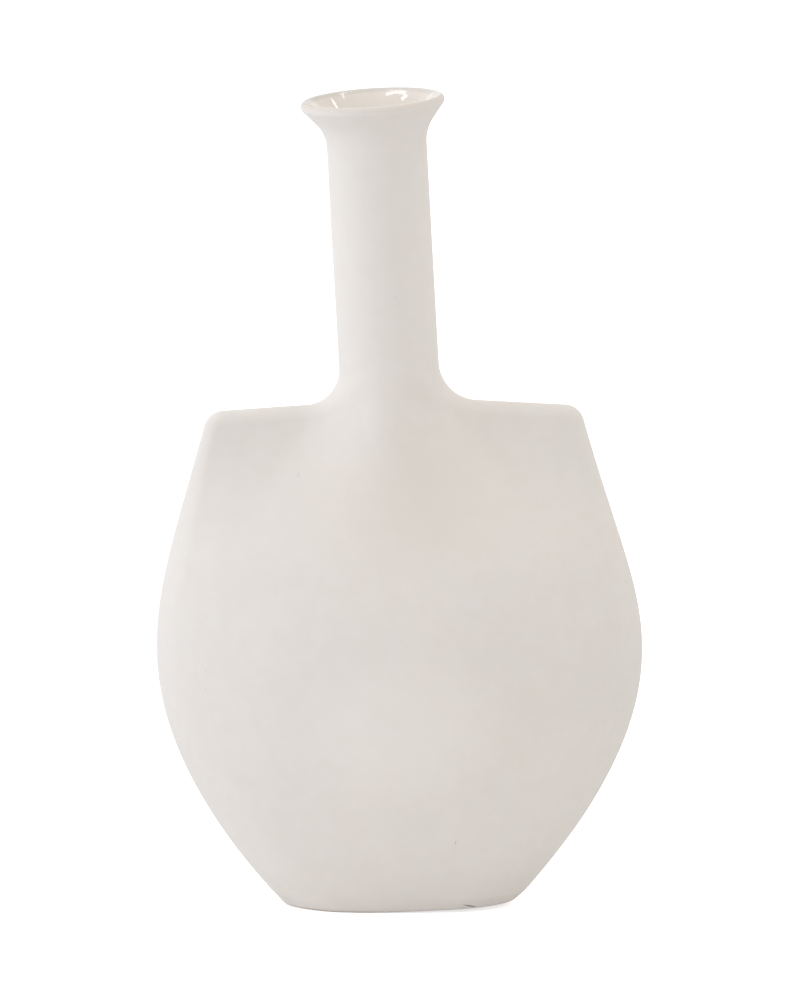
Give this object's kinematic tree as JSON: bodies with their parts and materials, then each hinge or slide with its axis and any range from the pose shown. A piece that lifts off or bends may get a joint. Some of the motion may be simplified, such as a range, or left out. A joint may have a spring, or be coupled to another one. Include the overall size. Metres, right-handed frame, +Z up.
{
  "type": "long-neck vase",
  "caption": "Flat-shouldered stoneware vase: deep rounded belly, oval foot, round leaning neck and a flared mouth glazed inside.",
  "frame": {"origin": "centre of the flat oval foot, on the surface that the vase stands on", "axes": "+Z up; +Y from the front to the back, across the flat body; +X along the shoulders, so the neck leans towards -X"},
  "size_m": [0.2374, 0.122, 0.3994],
  "materials": {
    "raw_clay": "dry matt stoneware slip, rubbed smooth by hand",
    "inner_glaze": "glossy transparent white glaze"
  },
  "bodies": {
    "root": {"base_slab": "raw_clay", "front_shell": "raw_clay", "back_shell": "raw_clay", "neck_tube": "raw_clay", "mouth_flare": "raw_clay", "floor_glaze": "inner_glaze", "body_glaze": "inner_glaze", "neck_glaze": "inner_glaze", "mouth_glaze": "inner_glaze"}
  },
  "joints": []
}
